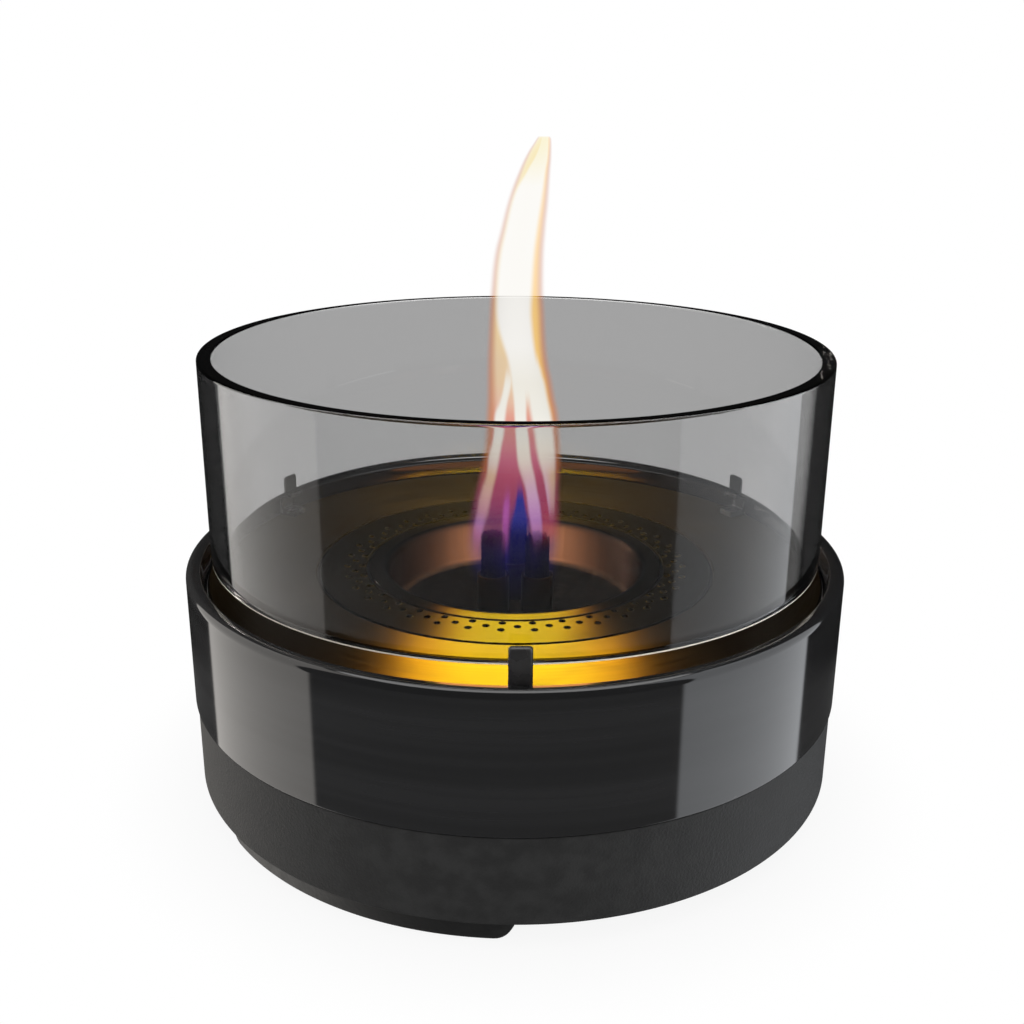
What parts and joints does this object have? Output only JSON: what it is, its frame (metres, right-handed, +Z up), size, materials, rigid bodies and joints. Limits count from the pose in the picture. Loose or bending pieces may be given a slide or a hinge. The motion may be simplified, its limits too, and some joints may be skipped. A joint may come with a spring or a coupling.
{
  "type": "tabletop fireplace",
  "caption": "Round spirit-burning tabletop fireplace: wicks in a sunk dish, a perforated air ring and a metal tray in a black housing on curved feet, under an open glass cylinder.",
  "frame": {"origin": "on the axis, at the level of the feet's undersides", "axes": "+Z up, towards the glass; -Y is the front, where one glass bracket stands; +X is to the right as seen from the front"},
  "size_m": [0.22, 0.22, 0.15],
  "materials": {
    "gloss_band": "high-gloss black lacquer",
    "matt_base": "matt black, fine powder texture",
    "foot_plastic": "matt black",
    "foot_rubber": "matt",
    "liner_steel": "plain rolled sheet",
    "tray_metal": "dark metallic, turned",
    "bracket_black": "satin black",
    "pad_silicone": "matt",
    "fixing_steel": "zinc plated",
    "tank_steel": "drawn stainless",
    "gasket_rubber": "matt",
    "dish_metal": "dark metallic, polished wall",
    "tube_steel": "heat-browned",
    "wick_fibre": "charred glass-fibre braid",
    "glass": "smoke-grey, polished edges"
  },
  "bodies": {
    "housing": {"band_shell": "gloss_band", "base_shell": "matt_base", "foot_ring": "foot_plastic", "foot_pad_front": "foot_rubber", "foot_pad_right": "foot_rubber", "foot_pad_rear": "foot_rubber", "inner_liner": "liner_steel", "glass_bracket_front": "bracket_black", "glass_bracket_right": "bracket_black", "glass_bracket_left": "bracket_black", "glass_pad_front": "pad_silicone", "glass_pad_right": "pad_silicone", "glass_pad_left": "pad_silicone", "bracket_screws": "fixing_steel", "base_screws": "fixing_steel", "liner_spacers": "fixing_steel", "liner_nuts": "fixing_steel", "tray_plate": "tray_metal"},
    "glass": {"glass_cylinder": "glass"},
    "burner": {"tank_shell": "tank_steel", "tank_lid": "tank_steel", "tank_neck": "tank_steel", "air_ring": "tray_metal", "ring_posts": "tank_steel"},
    "gasket": {"neck_gasket": "gasket_rubber"},
    "cap": {"wick_dish": "dish_metal", "cap_skirt": "tank_steel", "wick_tube_left": "tube_steel", "wick_tube_right": "tube_steel", "wick_tube_rear": "tube_steel"},
    "wick_left_body": {"wick_left": "wick_fibre"},
    "wick_right_body": {"wick_right": "wick_fibre"},
    "wick_rear_body": {"wick_rear": "wick_fibre"}
  },
  "joints": [
    {"name": "glass_lift", "type": "slide", "parent": "housing", "child": "glass", "axis": [0, 0, 1], "range_m": [0, 0.08]},
    {"name": "burner_lift", "type": "slide", "parent": "housing", "child": "burner", "axis": [0, 0, 1], "range_m": [0, 0.14]},
    {"name": "cap_rise", "type": "slide", "parent": "burner", "child": "gasket", "axis": [0, 0, 1], "range_m": [0, 0.0081]},
    {"name": "cap_turn", "type": "hinge", "parent": "gasket", "child": "cap", "pos_m": [0, 0, 0.058], "axis": [0, 0, 1], "range_deg": [0, 720]},
    {"name": "wick_left_pull", "type": "slide", "parent": "cap", "child": "wick_left_body", "axis": [0, 0, 1], "range_m": [-0.006, 0.006]},
    {"name": "wick_right_pull", "type": "slide", "parent": "cap", "child": "wick_right_body", "axis": [0, 0, 1], "range_m": [-0.006, 0.006]},
    {"name": "wick_rear_pull", "type": "slide", "parent": "cap", "child": "wick_rear_body", "axis": [0, 0, 1], "range_m": [-0.006, 0.006]}
  ],
  "couplings": [
    {"joint": "cap_rise", "follows": "cap_turn", "m_per_rad": 0.00063662}
  ]
}
